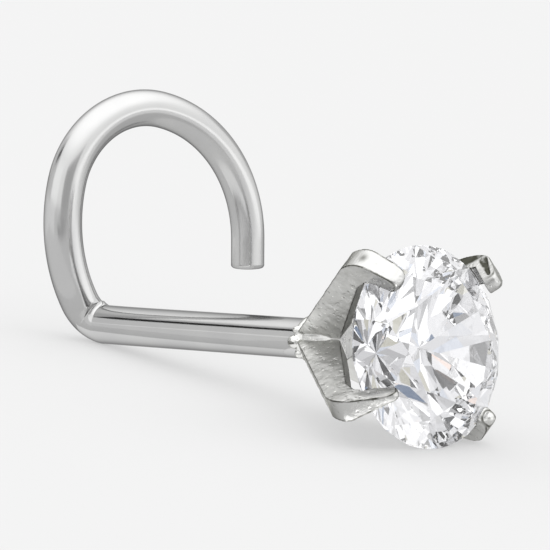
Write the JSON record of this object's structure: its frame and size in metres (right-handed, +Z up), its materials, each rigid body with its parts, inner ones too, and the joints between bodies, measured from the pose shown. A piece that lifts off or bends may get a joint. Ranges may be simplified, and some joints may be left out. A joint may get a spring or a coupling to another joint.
{
  "type": "nose screw stud",
  "caption": "Nose stud with a straight wire post, a curled tail that holds it in the nostril, and a four-prong head set with a round brilliant.",
  "frame": {"origin": "centre of the bounding box's bottom, on the surface that the stud lies on", "axes": "+X along the post from the curled tail to the stone, +Z up from the surface, +Y to the side that the tail's end is on"},
  "size_m": [0.009, 0.005, 0.0041],
  "materials": {
    "silver": "polished silver-grey wire and prong backs, satin cast sides with fine pits on the head",
    "clear_stone": "colourless faceted stone, polished"
  },
  "bodies": {
    "root": {"screw_post_and_head": "silver", "stone": "clear_stone"}
  },
  "joints": []
}
